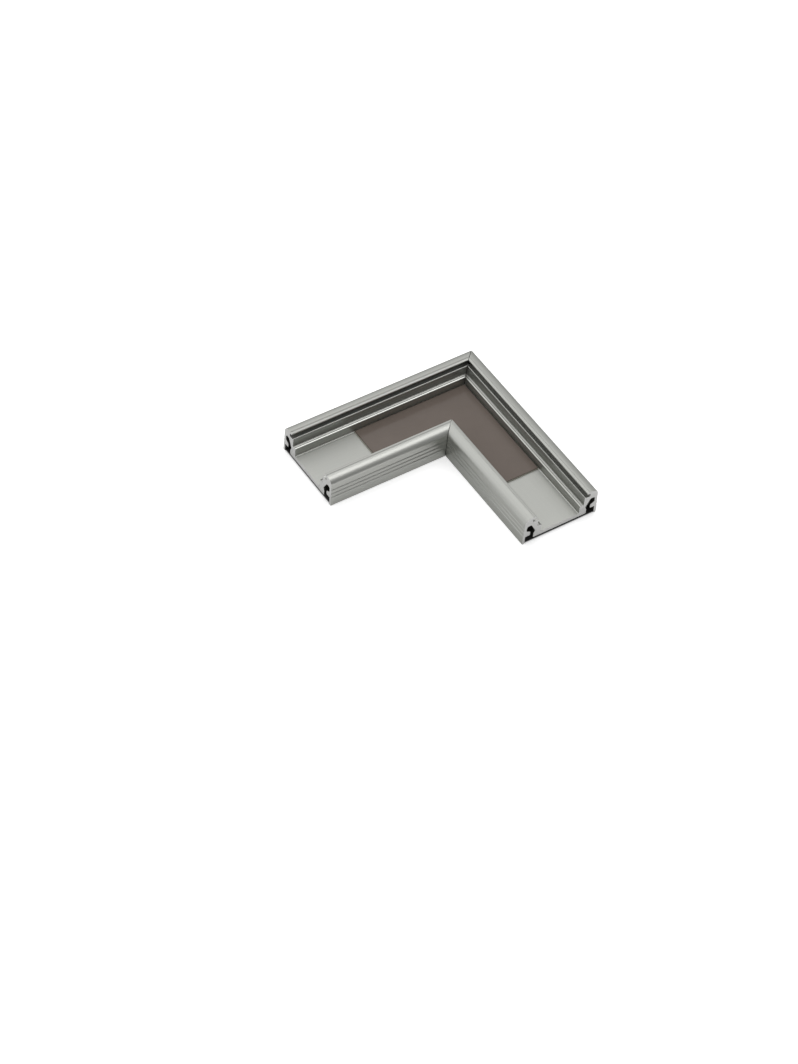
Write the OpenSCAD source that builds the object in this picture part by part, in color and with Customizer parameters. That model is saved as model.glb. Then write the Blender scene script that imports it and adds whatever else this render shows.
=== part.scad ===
// Corner connector for a surface-mounted lighting profile: two lengths of one aluminium
// extrusion, saw-cut at the mitre and held square by an L-shaped plate bonded to the channel floor.
// The outer corner of the L is at [+arm_len/2, +arm_len/2]. One arm runs towards -X, the other
// towards -Y, and the feet of both stand on the plane Z = 0.

/* [Arms] */
// Length of each arm along its outer face
arm_len = 80; // [60:1:150]
// Width of the extrusion over its outer faces
profile_w = 31.6; // [29:0.1:40]
// Height of the extrusion from its feet to the top of its lips
profile_h = 12.2; // [12:0.1:14]
// Gap that the saw leaves between the two mitre faces
mitre_gap = 0.2; // [0.05:0.05:0.4]

/* [Floor] */
// Height of the recess under the floor that takes a mounting plate
recess_h = 1.5; // [1.2:0.1:1.8]
// Thickness of the floor
floor_t = 1.5; // [1.2:0.1:1.7]
// Radius where the floor meets a side wall
floor_fillet_r = 0.4; // [0.2:0.05:0.6]

/* [Side wall] */
// Thickness of a side wall beside the floor
wall_w = 7.6; // [7.2:0.1:8]
// Thickness of a side wall above its ledge
wall_top_w = 5.95; // [5.8:0.05:6.3]
// Height of the ledge above the floor, at its fine line
ledge_h = 3.7; // [3.2:0.1:4.2]
// Rise of the ledge from its fine line to its root
ledge_rise = 0.13; // [0.05:0.01:0.15]
// Width of the narrow slope along the ledge's edge
ledge_slope_w = 0.45; // [0.3:0.05:0.45]
// Drop of that slope
ledge_slope_h = 0.17; // [0.1:0.01:0.25]
// Radius of the ledge's edge
ledge_r = 0.25; // [0.1:0.05:0.3]
// Width of the relief groove at the ledge's root
relief_w = 0.35; // [0.2:0.05:0.4]
// Depth of the relief groove at the ledge's root
relief_d = 0.2; // [0.1:0.05:0.3]
// Height of the outer face's upright foot
upright_h = 2; // [1:0.1:4]
// Distance that the outer face leans in between its upright foot and the shoulder
face_lean = 0.3; // [0.05:0.05:0.5]
// Width of the rounded shoulder between outer face and lip
shoulder_w = 3.5; // [3:0.1:3.7]
// Height of the rounded shoulder
shoulder_h = 2.2; // [1.6:0.1:3]

/* [Fine lines] */
// Width of the fine lines that run along the lip and the ledge
line_w = 0.28; // [0.2:0.01:0.3]
// Depth of the fine lines
line_d = 0.12; // [0.05:0.01:0.15]
// Distance from the end of the shoulder to the line along the lip
lip_line = 0.17; // [0.16:0.01:0.3]
// Distance from the ledge's edge to the line along the ledge
ledge_line = 0.62; // [0.62:0.01:0.8]
// Radius in the relief groove
relief_r = 0.05; // [0.02:0.01:0.08]

/* [Cover groove] */
// Reach of the lip over the groove, from the outer face
lip_reach = 5; // [4.8:0.05:5.4]
// Fall of the lip towards the channel, in degrees
lip_fall = 6; // [0:1:10]
// Thickness of the lip at its tip
lip_t = 0.6; // [0.5:0.05:0.8]
// Height of the groove's mouth
mouth_h = 1.3; // [1:0.05:1.4]
// Distance from the outer face to the groove's back
groove_back = 3.6; // [3.5:0.05:4]
// Drop of the groove from its mouth to its back
groove_drop = 0.35; // [0.2:0.05:0.5]
// Radius of the catch under the groove's mouth
catch_r = 0.35; // [0.15:0.05:0.4]
// Radius in the groove's back
groove_r = 0.3; // [0.1:0.05:0.35]

/* [Clip slot] */
// Thickness of the outer leg at the foot
leg_t = 1; // [0.8:0.05:1.2]
// Height of the slot's mouth, up to the tooth
tooth_foot = 3.5; // [3.2:0.1:3.7]
// Height of the tooth's nose
tooth_h = 1.7; // [1.4:0.1:1.9]
// Reach of the tooth from the outer face
tooth_reach = 3; // [2.6:0.1:3.2]
// Rise of the tooth's upper flank
tooth_rise = 1; // [0.7:0.1:1.2]
// Radius of the tooth's nose
tooth_r = 0.5; // [0.2:0.05:0.6]
// Height of the slot's rounded crown
slot_h = 8.5; // [8.2:0.1:8.8]
// Width of the slot's crown
crown_w = 1.9; // [1.6:0.1:2.2]
// Radius of the slot's crown
crown_r = 0.9; // [0.5:0.1:1]
// Distance from the outer face to the slot's widest point
slot_reach = 5.1; // [4.9:0.05:5.3]
// Height of the slot's widest point
slot_reach_h = 4.9; // [4.7:0.1:5.2]
// Distance from the outer face to the bead that narrows the slot
bead_reach = 4.5; // [4.3:0.05:4.7]
// Height of the bead
bead_h = 3.5; // [3.2:0.1:3.7]
// Radius of the slot's other corners
slot_r = 0.4; // [0.2:0.05:0.5]

/* [Joining plate] */
// Length of the plate along each arm, from the outer corner
plate_reach = 55.4; // [45:0.1:58]
// Thickness of the plate
plate_t = 0.6; // [0.4:0.1:1.5]
// Clearance between the plate and the floor fillets
plate_gap = 0.05; // [0.05:0.05:0.3]

/* [Edges] */
// Radius of the thin edges: feet and lip
edge_r = 0.2; // [0.1:0.05:0.3]
// Largest turn between two points on an arc, in degrees
arc_step = 11; // [6:1:20]

/* [Hidden] */
floor_z = recess_h + floor_t;
ledge_z = floor_z + ledge_h;
shoulder_centre = [face_lean + shoulder_w, profile_h - shoulder_h];
lip_z = top_z(lip_reach);
catch_z = lip_z - lip_t - mouth_h;
lip_line_x = shoulder_centre.x + lip_line;
ledge_line_x = wall_w - ledge_line;
crown_left = leg_t + face_lean;
plate_inset = wall_w + floor_fillet_r + plate_gap;
mitre_setback = mitre_gap / sqrt(2);
// Extra length of a cutting solid beyond what it cuts
overcut = 1;
aluminium = [0.70, 0.71, 0.69];
taupe = [0.45, 0.42, 0.39];

function unit(v) = v / norm(v);

// Height of the falling lip at a distance x from the outer face
function top_z(x) = profile_h - (x - shoulder_centre.x) * tan(lip_fall);

// Points on an elliptical arc about centre, from one angle to another
function elliptical_arc(centre, half_w, half_h, from, to) =
    let (steps = ceil(abs(to - from) / arc_step))
    [
        for (i = [0 : steps])
            let (angle = from + (to - from) * i / steps)
            centre + [half_w * cos(angle), half_h * sin(angle)]
    ];

// Points on a round arc
function arc(centre, r, from, to) = elliptical_arc(centre, r, r, from, to);

// Points that round corner b, given as [x, y, radius], between its neighbours a and c
function rounded_corner(a, b, c) =
    let (
        corner = [b.x, b.y],
        to_a = [a.x, a.y] - corner,
        to_c = [c.x, c.y] - corner,
        half = acos(unit(to_a) * unit(to_c)) / 2,
        setback = min(b.z / tan(half), norm(to_a) / 2, norm(to_c) / 2),
        r = setback * tan(half),
        centre = corner + unit(unit(to_a) + unit(to_c)) * r / sin(half),
        start = corner + unit(to_a) * setback - centre,
        from = atan2(start.y, start.x),
        side = sign(cross(to_c, to_a))
    )
    b.z == 0 ? [corner] : arc(centre, r, from, from + side * (180 - 2 * half));

// Outline through corners given as [x, y, radius]; its two ends stay sharp
function rounded_path(corners) =
    [for (i = [1 : len(corners) - 2]) each rounded_corner(corners[i - 1], corners[i], corners[i + 1])];

// Channel side of a wall, from the middle of the floor up to the lip's tip
channel_side = [
    [profile_w / 2, floor_z, 0],
    [wall_w, floor_z, floor_fillet_r],
    [wall_w, ledge_z - ledge_slope_h, ledge_r],
    [wall_w - ledge_slope_w, ledge_z, ledge_r],
    [ledge_line_x + line_w / 2, ledge_z, 0],
    [ledge_line_x, ledge_z - line_d, 0],
    [ledge_line_x - line_w / 2, ledge_z, 0],
    [wall_top_w + relief_w, ledge_z + ledge_rise, relief_r],
    [wall_top_w, ledge_z - relief_d, relief_r],
    [wall_top_w, catch_z, catch_r],
    [groove_back, catch_z - groove_drop, groove_r],
    [groove_back, catch_z - groove_drop + mouth_h, groove_r],
    [lip_reach, lip_z - lip_t, edge_r],
    [lip_reach, lip_z, edge_r],
    [lip_line_x + line_w / 2, top_z(lip_line_x + line_w / 2), 0],
    [lip_line_x, top_z(lip_line_x) - line_d, 0],
    [lip_line_x - line_w / 2, top_z(lip_line_x - line_w / 2), 0],
    [shoulder_centre.x, profile_h, 0]
];

// Outer leg and clip slot, from the shoulder down to the foot and back to the middle of the recess
slot_side = [
    [face_lean, shoulder_centre.y, 0],
    [0, upright_h, 0],
    [0, 0, edge_r],
    [leg_t, 0, edge_r],
    [leg_t, tooth_foot, edge_r],
    [tooth_reach, tooth_foot, tooth_r],
    [tooth_reach, tooth_foot + tooth_h, tooth_r],
    [crown_left, tooth_foot + tooth_h + tooth_rise, slot_r],
    [crown_left, slot_h, crown_r],
    [crown_left + crown_w, slot_h, crown_r],
    [slot_reach, slot_reach_h, slot_r],
    [bead_reach, bead_h, slot_r],
    [bead_reach, recess_h, slot_r],
    [profile_w / 2, recess_h, 0]
];

// Half of the section, one wall with half of the floor
half_section = concat(
    rounded_path(channel_side),
    elliptical_arc(shoulder_centre, shoulder_w, shoulder_h, 90, 180),
    rounded_path(slot_side)
);

module profile_section() {
    far_half = [for (i = [len(half_section) - 1 : -1 : 0]) [profile_w - half_section[i].x, half_section[i].y]];
    polygon(concat(half_section, far_half));
}

// One arm along +X with its outer face on Y = 0 and its mitre through the origin
module mitred_arm() {
    difference() {
        rotate([90, 0, 90])
            linear_extrude(height = arm_len)
                profile_section();
        translate([mitre_setback, 0, -overcut])
            linear_extrude(height = profile_h + 2 * overcut)
                polygon([
                    [-overcut, -overcut],
                    [profile_w + overcut, profile_w + overcut],
                    [-overcut, profile_w + overcut]
                ]);
    }
}

// Turns the corner's own frame, with its outer corner at the origin, into the part's frame
module at_corner() {
    translate([arm_len / 2, arm_len / 2, 0])
        rotate([0, 0, 180])
            children();
}

module left_arm() {
    color(aluminium)
        at_corner() mitred_arm();
}

module right_arm() {
    color(aluminium)
        at_corner() mirror([1, -1, 0]) mitred_arm();
}

// Flat L that lies on both floors and bridges the mitre
module joining_plate() {
    color(taupe)
        at_corner()
            translate([0, 0, floor_z])
                linear_extrude(height = plate_t)
                    polygon([
                        [plate_inset, plate_inset],
                        [plate_reach, plate_inset],
                        [plate_reach, profile_w - plate_inset],
                        [profile_w - plate_inset, profile_w - plate_inset],
                        [profile_w - plate_inset, plate_reach],
                        [plate_inset, plate_reach]
                    ]);
}

left_arm();
right_arm();
joining_plate();
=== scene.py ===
import bpy
import bmesh
from math import cos, radians, sin
from mathutils import Matrix, Vector


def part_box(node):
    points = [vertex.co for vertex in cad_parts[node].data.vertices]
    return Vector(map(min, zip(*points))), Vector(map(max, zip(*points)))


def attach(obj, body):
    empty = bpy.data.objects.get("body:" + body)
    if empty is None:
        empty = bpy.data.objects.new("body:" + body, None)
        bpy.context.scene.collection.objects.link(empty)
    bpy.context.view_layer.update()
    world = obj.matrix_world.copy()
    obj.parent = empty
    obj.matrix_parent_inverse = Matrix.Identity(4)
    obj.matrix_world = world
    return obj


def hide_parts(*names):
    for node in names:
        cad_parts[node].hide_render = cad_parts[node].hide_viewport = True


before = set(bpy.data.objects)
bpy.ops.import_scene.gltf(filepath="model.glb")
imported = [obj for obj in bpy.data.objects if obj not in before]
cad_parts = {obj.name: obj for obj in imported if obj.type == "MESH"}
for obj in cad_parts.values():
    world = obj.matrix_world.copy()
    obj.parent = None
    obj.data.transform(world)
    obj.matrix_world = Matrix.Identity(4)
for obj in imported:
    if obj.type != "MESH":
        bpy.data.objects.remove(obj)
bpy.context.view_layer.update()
MM = 0.001
bpy.context.scene.view_settings.view_transform = "Standard"

# Camera: an ordinary long lens, a little over a metre away, looking down into the open
# side of the channel from the side of the re-entrant corner, and tilted a few degrees.
camera_place = Vector((-458.762, -585.925, 808.617)) * MM
camera_azimuth = radians(-37.12)
camera_elevation = radians(48.412)
camera_roll = radians(5.568)

back = Vector((sin(camera_azimuth) * cos(camera_elevation),
               -cos(camera_azimuth) * cos(camera_elevation),
               sin(camera_elevation)))
level = Vector((cos(camera_azimuth), sin(camera_azimuth), 0))
rise = back.cross(level)
right = level * cos(camera_roll) + rise * sin(camera_roll)
up = rise * cos(camera_roll) - level * sin(camera_roll)
camera_data = bpy.data.cameras.new("camera")
camera_data.lens = 104.925
camera_data.sensor_width = 36
camera_data.clip_start = 0.01
camera = bpy.data.objects.new("camera", camera_data)
camera.matrix_world = Matrix.Translation(camera_place) @ Matrix((right, up, back)).transposed().to_4x4()
bpy.context.scene.collection.objects.link(camera)
bpy.context.scene.camera = camera

# Floor: the plain white table that the corner stands on, wide enough to fill the view. It is
# white all over, with painted shade under the channel, where the table sees no light.
left_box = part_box("left_arm")
arm_end = left_box[0][0]
outer_side = left_box[1][1]
inner_side = left_box[0][1]
table_radius = 1.6
table_white = (0.95, 0.95, 0.95, 1)
# painted shade: the table's colour under the channel, where it lies in the part's shade
painted_shade_under_channel = (0.06, 0.06, 0.06, 1)
shade_width = 0.6 * MM
lift_for_camera = 0.48
lift_for_mirrors = 0.16


def new_material(name):
    """A material with only a Principled shader in it, its node tree to add to, and the shader."""
    material = bpy.data.materials.new(name)
    material.use_nodes = True
    tree = material.node_tree
    return material, tree, tree.nodes["Principled BSDF"]


def add_node(tree, kind, settings=(), **inputs):
    """One shader node. Its inputs are given by name, or as i0, i1 and so on by number."""
    node = tree.nodes.new(kind)
    for key, value in dict(settings).items():
        setattr(node, key, value)
    for key, value in inputs.items():
        by_number = key[0] == "i" and key[1:].isdigit()
        socket = node.inputs[int(key[1:])] if by_number else node.inputs[key.replace("_", " ")]
        if isinstance(value, bpy.types.NodeSocket):
            tree.links.new(value, socket)
        else:
            socket.default_value = value
    return node


def math_node(tree, operation, *values):
    """The output of one Math node."""
    inputs = {"i%d" % number: value for number, value in enumerate(values)}
    return add_node(tree, "ShaderNodeMath", {"operation": operation}, **inputs).outputs[0]


def ramp(tree, value, low, high, to_low=0.0, to_high=1.0):
    """A value mapped from one range to another, held at both ends."""
    return add_node(tree, "ShaderNodeMapRange", Value=value, From_Min=low, From_Max=high,
                    To_Min=to_low, To_Max=to_high).outputs[0]


def mix_colours(tree, share, first, second):
    """The first colour where the share is 0, the second where it is 1."""
    return add_node(tree, "ShaderNodeMix", {"data_type": "RGBA"}, i0=share, i6=first,
                    i7=second).outputs[2]


floor_mesh = bmesh.new()
bmesh.ops.create_circle(floor_mesh, cap_ends=True, segments=96, radius=table_radius)
floor_data = bpy.data.meshes.new("floor")
floor_mesh.to_mesh(floor_data)
floor_mesh.free()
floor = bpy.data.objects.new("floor", floor_data)
bpy.context.scene.collection.objects.link(floor)

floor_paint, tree, shader = new_material("table_white")
shader.inputs["Roughness"].default_value = 0.9
shader.inputs["Specular IOR Level"].default_value = 0
place = add_node(tree, "ShaderNodeTexCoord").outputs["Object"]
axes = add_node(tree, "ShaderNodeSeparateXYZ", Vector=place).outputs
to_end = math_node(tree, "SUBTRACT", math_node(tree, "MINIMUM", axes["X"], axes["Y"]), arm_end)
furthest = math_node(tree, "MAXIMUM", axes["X"], axes["Y"])
to_outside = math_node(tree, "SUBTRACT", outer_side, furthest)
to_inside = math_node(tree, "SUBTRACT", furthest, inner_side)
depth = math_node(tree, "MINIMUM", math_node(tree, "MINIMUM", to_end, to_outside), to_inside)
# painted shade: the table turns dark across shade_width inside the channel's footprint and loses its
# lift there
shade = ramp(tree, depth, 0.0, shade_width)
paint = mix_colours(tree, shade, table_white, painted_shade_under_channel)
tree.links.new(paint, shader.inputs["Base Color"])
path = add_node(tree, "ShaderNodeLightPath").outputs
mirrored = math_node(tree, "MAXIMUM", path["Is Glossy Ray"], path["Is Transmission Ray"])
lift = math_node(tree, "ADD", math_node(tree, "MULTIPLY", path["Is Camera Ray"], lift_for_camera),
                 math_node(tree, "MULTIPLY", mirrored, lift_for_mirrors))
lift = math_node(tree, "MULTIPLY", lift, math_node(tree, "SUBTRACT", 1.0, shade))
glow = add_node(tree, "ShaderNodeEmission", Color=(1, 1, 1, 1), Strength=lift)
blend = add_node(tree, "ShaderNodeAddShader", i0=shader.outputs[0], i1=glow.outputs[0])
tree.links.new(blend.outputs[0], tree.nodes["Material Output"].inputs["Surface"])
floor_data.materials.append(floor_paint)

# Light: a pale room, dimmer low down and in front and brighter behind and on the left, with a
# soft box overhead that draws the highlight along the shoulders, and a wide one behind that
# fills the channel.
at_horizon = 0.72
high_up = 0.88
in_front = 0.42
behind = 1.2
on_left = 1.2
on_right = 0.8

world = bpy.data.worlds.new("studio")
bpy.context.scene.world = world
world.use_nodes = True
tree = world.node_tree
place = add_node(tree, "ShaderNodeTexCoord").outputs["Generated"]
way = add_node(tree, "ShaderNodeSeparateXYZ", Vector=place).outputs
height = ramp(tree, way["Z"], low=0.0, high=0.6, to_low=at_horizon, to_high=high_up)
front = ramp(tree, way["Y"], low=-0.6, high=-0.1, to_low=in_front)
rear = ramp(tree, way["Y"], low=0.5, high=0.8, to_low=1.0, to_high=behind)
side = ramp(tree, way["X"], low=-1.0, high=1.0, to_low=on_left, to_high=on_right)
strength = math_node(tree, "MULTIPLY", math_node(tree, "MULTIPLY", height, front),
                     math_node(tree, "MULTIPLY", rear, side))
tree.links.new(strength, tree.nodes["Background"].inputs["Strength"])
tree.nodes["Background"].inputs["Color"].default_value = (1, 1, 1, 1)


def soft_box(name, direction, distance, size, power):
    """A square lamp at a distance from the part, along a direction, facing it."""
    data = bpy.data.lights.new(name, "AREA")
    data.shape = "SQUARE"
    data.size = size
    data.energy = power
    lamp = bpy.data.objects.new(name, data)
    towards = Vector(direction).normalized()
    turn = towards.to_track_quat("Z", "Y").to_matrix().to_4x4()
    lamp.matrix_world = Matrix.Translation(towards * distance) @ turn
    bpy.context.scene.collection.objects.link(lamp)


soft_box("overhead_box", direction=(0.40, 0.06, 0.91), distance=1.1, size=0.55, power=1.55)
soft_box("back_box", direction=(-0.02, 0.60, 0.78), distance=1.1, size=1.05, power=0.95)

# Arms: two lengths of one extruded channel in satin anodised aluminium, sawn off and mitred. The
# die leaves fine lines on every face and three shallow grooves on the outer ones. The floor is
# duller and painted lighter, the edges of ledge and catch are painted brighter as a glint, and the
# cover groove, the line along the ledge, the clip slots and the mitre faces are painted dark as shade.
profile_w = outer_side - inner_side
outer_face_depth = 0.35 * MM
slot_walls = (0.9 * MM, 5.2 * MM)
slot_top = 8.6 * MM
cover_groove_walls = (3.55 * MM, 5.9 * MM)
cover_groove_heights = (9.2 * MM, 11.6 * MM)
floor_heights = (2.9 * MM, 3.1 * MM)
ledge_line = (6.8 * MM, 7.15 * MM)
die_groove_heights = (4.2 * MM, 6.0 * MM, 7.8 * MM)
die_groove_half = 0.28 * MM
die_groove_depth = 0.15 * MM

# Share of a face's normal that points along or across the arm, and upwards
square_on = 0.9
on_mitre = 0.5
up_from_ledge_line = (0.6, 0.9)
# upward share of the faces on the edges of ledge and catch that get the painted glint
up_from_painted_glint_edge = (0.2, 0.97)
nearly_up = 0.9
level_face = 0.98
weld = 0.001 * MM
level_slack = 0.01 * MM
one_plane = radians(0.5)
sharp_turn = radians(25)

aluminium_darker = (0.435, 0.441, 0.416)
aluminium_lighter = (0.485, 0.491, 0.464)
sawn_darker = (0.54, 0.54, 0.53, 1)
sawn_lighter = (0.65, 0.65, 0.64, 1)
# painted shade: near-black colours for the walls of the clip slots and the mitre faces
painted_shade_darker = (0.07, 0.07, 0.065, 1)
painted_shade_lighter = (0.11, 0.11, 0.10, 1)
glancing_anodised = (0.15, 0.15, 0.15, 1)
glancing_sawn = (0.5, 0.5, 0.5, 1)
die_line_scale = 1500.0
die_line_scale_along = 12.0
saw_mark_scale = (200.0, 200.0, 3000.0)
scratch_depth = 0.05 * MM


def anodised(name, along, metallic=1.0, shade=1.0, smoothest=0.30, roughest=0.38, grain_share=0.5):
    """Satin anodised aluminium whose fine lines run along one axis; shade scales its colour, below 1 as
    painted shade and above 1 as painted light.
    """
    material, tree, shader = new_material(name)
    shader.inputs["Metallic"].default_value = metallic
    shader.inputs["Specular Tint"].default_value = glancing_anodised
    place = add_node(tree, "ShaderNodeTexCoord").outputs["Object"]
    squeeze = [die_line_scale] * 3
    squeeze[along] = die_line_scale_along
    stretch = add_node(tree, "ShaderNodeMapping", Vector=place, Scale=squeeze)
    lines = add_node(tree, "ShaderNodeTexNoise", Vector=stretch.outputs[0], Scale=1.0, Detail=3.0,
                     Roughness=0.6).outputs["Fac"]
    grain = add_node(tree, "ShaderNodeTexNoise", Vector=place, Scale=5000.0, Detail=2.0,
                     Roughness=0.6).outputs["Fac"]
    tone = math_node(tree, "ADD", math_node(tree, "MULTIPLY", lines, 1 - grain_share),
                     math_node(tree, "MULTIPLY", grain, grain_share))
    tone = ramp(tree, tone, low=0.35, high=0.65)
    darker = [part * shade for part in aluminium_darker] + [1]
    lighter = [part * shade for part in aluminium_lighter] + [1]
    tree.links.new(mix_colours(tree, tone, darker, lighter), shader.inputs["Base Color"])
    tree.links.new(ramp(tree, tone, 0.0, 1.0, smoothest, roughest), shader.inputs["Roughness"])
    bump = add_node(tree, "ShaderNodeBump", Height=tone, Strength=0.1, Distance=scratch_depth)
    tree.links.new(bump.outputs[0], shader.inputs["Normal"])
    return material


def sawn(name, darker, lighter, roughness):
    """A cut face of the same aluminium, with close saw marks."""
    material, tree, shader = new_material(name)
    shader.inputs["Metallic"].default_value = 1.0
    shader.inputs["Specular Tint"].default_value = glancing_sawn
    shader.inputs["Roughness"].default_value = roughness
    place = add_node(tree, "ShaderNodeTexCoord").outputs["Object"]
    stretch = add_node(tree, "ShaderNodeMapping", Vector=place, Scale=saw_mark_scale)
    marks = add_node(tree, "ShaderNodeTexNoise", Vector=stretch.outputs[0], Scale=1.0,
                     Detail=2.0).outputs["Fac"]
    tree.links.new(mix_colours(tree, marks, darker, lighter), shader.inputs["Base Color"])
    bump = add_node(tree, "ShaderNodeBump", Height=marks, Strength=0.15, Distance=scratch_depth)
    tree.links.new(bump.outputs[0], shader.inputs["Normal"])
    return material


sawn_end = sawn("aluminium_sawn_end", sawn_darker, sawn_lighter, roughness=0.5)
# painted shade: the slot walls and mitre faces get a near-black copy of the sawn finish
painted_shade_slots_and_mitre = sawn("aluminium_in_slots", painted_shade_darker, painted_shade_lighter, roughness=0.6)


def from_outer_face(point, along):
    """Distance from a point to the nearer outer face of an arm that runs along one axis."""
    depth = outer_side - point[1 - along]
    return min(depth, profile_w - depth)


def cut_die_grooves(mesh, along):
    """Shallow V grooves along both outer faces of one arm, still closed at its mitre."""
    across = 1 - along
    for height in die_groove_heights:
        for cut in (height - die_groove_half, height, height + die_groove_half):
            walls = [face for face in mesh.faces if abs(face.normal[across]) > square_on
                     and from_outer_face(face.calc_center_median(), along) < outer_face_depth]
            edges = dict.fromkeys(edge for face in walls for edge in face.edges)
            verts = dict.fromkeys(vert for face in walls for vert in face.verts)
            bmesh.ops.bisect_plane(mesh, geom=[*walls, *edges, *verts], dist=weld,
                                   plane_co=(0, 0, cut), plane_no=(0, 0, 1))
            mesh.normal_update()
        bottom = [vert for vert in mesh.verts if abs(vert.co.z - height) < level_slack
                  and from_outer_face(vert.co, along) < outer_face_depth]
        for vert in bottom:
            on_outside = outer_side - vert.co[across] < profile_w / 2
            inwards = Vector((0, 0, 0))
            inwards[across] = -die_groove_depth if on_outside else die_groove_depth
            at_mitre = vert.co[along] - arm_end > profile_w
            inwards[along] = inwards[across] if at_mitre else 0
            bmesh.ops.translate(mesh, verts=[vert], vec=inwards)
    mesh.normal_update()


def finish_of(face, along):
    """The name of the finish that one face of an arm gets."""
    centre = face.calc_center_median()
    inset = from_outer_face(centre, along)
    facing = abs(face.normal[along])
    upwards = face.normal.z
    if facing > square_on:
        return "sawn_end"
    # the mitre faces and the walls of the clip slots get the painted shade
    if facing > on_mitre or (slot_walls[0] < inset < slot_walls[1] and centre.z < slot_top):
        return "painted_shade_slots_and_mitre"
    if inset < outer_face_depth:
        return "outer"
    # painted shade: faces of the line along the ledge and of the cover groove get a darker copy of the
    # anodising
    if (ledge_line[0] < inset < ledge_line[1]
            and up_from_ledge_line[0] < upwards < up_from_ledge_line[1]):
        return "groove"
    if (cover_groove_walls[0] < inset < cover_groove_walls[1] and upwards < nearly_up
            and cover_groove_heights[0] < centre.z < cover_groove_heights[1]):
        return "groove"
    # painted light: the channel floor gets a lighter, duller copy of the anodising
    if floor_heights[0] < centre.z < floor_heights[1] and upwards > level_face:
        return "floor"
    # painted glint: the sloping faces on the edges of ledge and catch get a lighter, smoother copy
    if (inset > cover_groove_walls[0] and centre.z < cover_groove_heights[1]
            and up_from_painted_glint_edge[0] < upwards < up_from_painted_glint_edge[1]):
        return "edge"
    return "along"


def dress_arm(node_name, piece_name, along):
    """A merged copy of one arm with smooth shoulders and a finish for each kind of face."""
    mesh = bmesh.new()
    mesh.from_mesh(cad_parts[node_name].data)
    bmesh.ops.remove_doubles(mesh, verts=mesh.verts, dist=weld)
    bmesh.ops.dissolve_limit(mesh, angle_limit=one_plane, verts=mesh.verts, edges=mesh.edges)
    mesh.normal_update()
    cut_die_grooves(mesh, along)
    axis = "xy"[along]
    finishes = {
        "along": anodised("anodised_along_" + axis, along, metallic=0.85),
        "sawn_end": sawn_end,
        "painted_shade_slots_and_mitre": painted_shade_slots_and_mitre,
        "outer": anodised("anodised_outer_" + axis, along),
        # painted shade: the groove copy of the anodising is darkened to 0.6
        "groove": anodised("anodised_groove_painted_shade_" + axis, along, shade=0.6),
        # painted light: the floor copy of the anodising is lightened to 1.14, and is also rougher and
        # less metallic
        "floor": anodised("anodised_floor_painted_light_" + axis, along, metallic=0.5, shade=1.14,
                          smoothest=0.42, roughest=0.5, grain_share=0.8),
        # painted glint: the base colour on these edges is lightened to 1.05
        "edge": anodised("anodised_edge_painted_glint_" + axis, along, shade=1.05, smoothest=0.2, roughest=0.28),
    }
    for face in mesh.faces:
        face.material_index = list(finishes).index(finish_of(face, along))
        face.smooth = abs(face.normal[along]) < on_mitre
    for edge in mesh.edges:
        edge.smooth = edge.calc_face_angle(0) < sharp_turn
    data = bpy.data.meshes.new(piece_name)
    mesh.to_mesh(data)
    mesh.free()
    for finish in finishes.values():
        data.materials.append(finish)
    piece = bpy.data.objects.new(piece_name, data)
    bpy.context.scene.collection.objects.link(piece)
    shading = piece.modifiers.new("wide_faces_shade_flat", "WEIGHTED_NORMAL")
    shading.keep_sharp = True
    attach(piece, "root")
    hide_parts(node_name)


dress_arm("left_arm", "left_arm_extrusion", 0)
dress_arm("right_arm", "right_arm_extrusion", 1)

# Joining plate: a flat L sheared from thin sheet with a smooth dark taupe coat, laid on both
# floors across the mitre and bonded there. Its cut edges are bare and pale, and the coat is
# darker in a narrow rim beside the edges that face the arm ends.
plate_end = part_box("joining_plate")[0][0]
coat_darker = (0.157, 0.128, 0.109, 1)
coat_lighter = (0.173, 0.142, 0.122, 1)
coat_rim = (0.060, 0.048, 0.036, 1)
bare_darker = (0.38, 0.36, 0.31, 1)
bare_lighter = (0.48, 0.46, 0.40, 1)
rim_solid = 0.15 * MM
rim_width = 0.4 * MM
coat_roughness = 0.12
bare_roughness = 0.4
shear_mark_scale = (4000.0, 4000.0, 200.0)
peel_depth = 0.05 * MM

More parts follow.
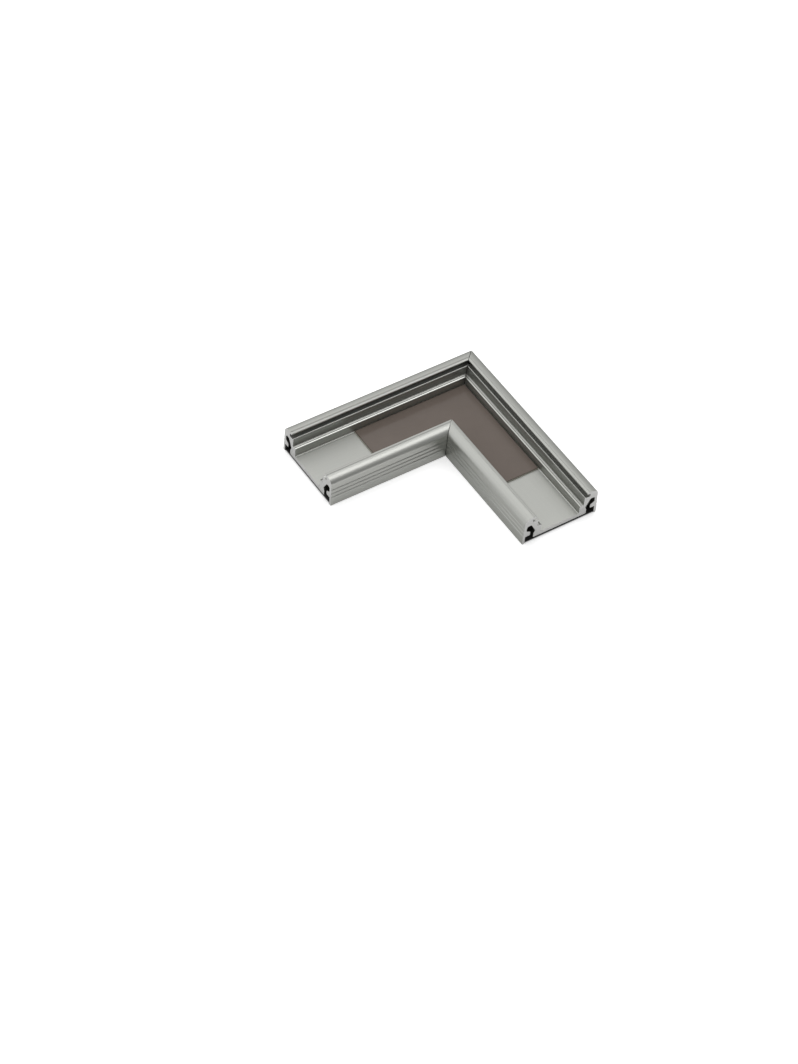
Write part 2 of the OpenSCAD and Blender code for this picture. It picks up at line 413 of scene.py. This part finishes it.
taupe, tree, shader = new_material("plate_taupe_coat")
shader.inputs["Specular IOR Level"].default_value = 0.3
coords = add_node(tree, "ShaderNodeTexCoord").outputs
cloud = add_node(tree, "ShaderNodeTexNoise", Vector=coords["Object"], Scale=120.0, Detail=4.0,
                 Roughness=0.6).outputs["Fac"]
speck = add_node(tree, "ShaderNodeTexNoise", Vector=coords["Object"], Scale=4000.0,
                 Detail=2.0).outputs["Fac"]
tone = math_node(tree, "ADD", math_node(tree, "MULTIPLY", cloud, 0.7),
                 math_node(tree, "MULTIPLY", speck, 0.3))
coat = mix_colours(tree, ramp(tree, tone, low=0.3, high=0.7), coat_darker, coat_lighter)
axes = add_node(tree, "ShaderNodeSeparateXYZ", Vector=coords["Object"]).outputs
to_end = math_node(tree, "SUBTRACT", math_node(tree, "MINIMUM", axes["X"], axes["Y"]), plate_end)
rim = ramp(tree, to_end, rim_solid, rim_width, to_low=1.0, to_high=0.0)
coat = mix_colours(tree, rim, coat, coat_rim)
shear = add_node(tree, "ShaderNodeMapping", Vector=coords["Object"], Scale=shear_mark_scale)
marks = add_node(tree, "ShaderNodeTexNoise", Vector=shear.outputs[0], Scale=1.0, Detail=2.0)
bare = mix_colours(tree, marks.outputs["Fac"], bare_darker, bare_lighter)
facing = add_node(tree, "ShaderNodeSeparateXYZ", Vector=coords["Normal"]).outputs
is_cut = math_node(tree, "LESS_THAN", math_node(tree, "ABSOLUTE", facing["Z"]), 0.5)
tree.links.new(mix_colours(tree, is_cut, coat, bare), shader.inputs["Base Color"])
roughness = ramp(tree, is_cut, 0.0, 1.0, coat_roughness, bare_roughness)
tree.links.new(roughness, shader.inputs["Roughness"])
peel = add_node(tree, "ShaderNodeTexNoise", Vector=coords["Object"], Scale=900.0, Detail=1.0)
bump = add_node(tree, "ShaderNodeBump", Height=peel.outputs["Fac"], Strength=0.05,
                Distance=peel_depth)
tree.links.new(bump.outputs[0], shader.inputs["Normal"])
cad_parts["joining_plate"].material_slots[0].material = taupe
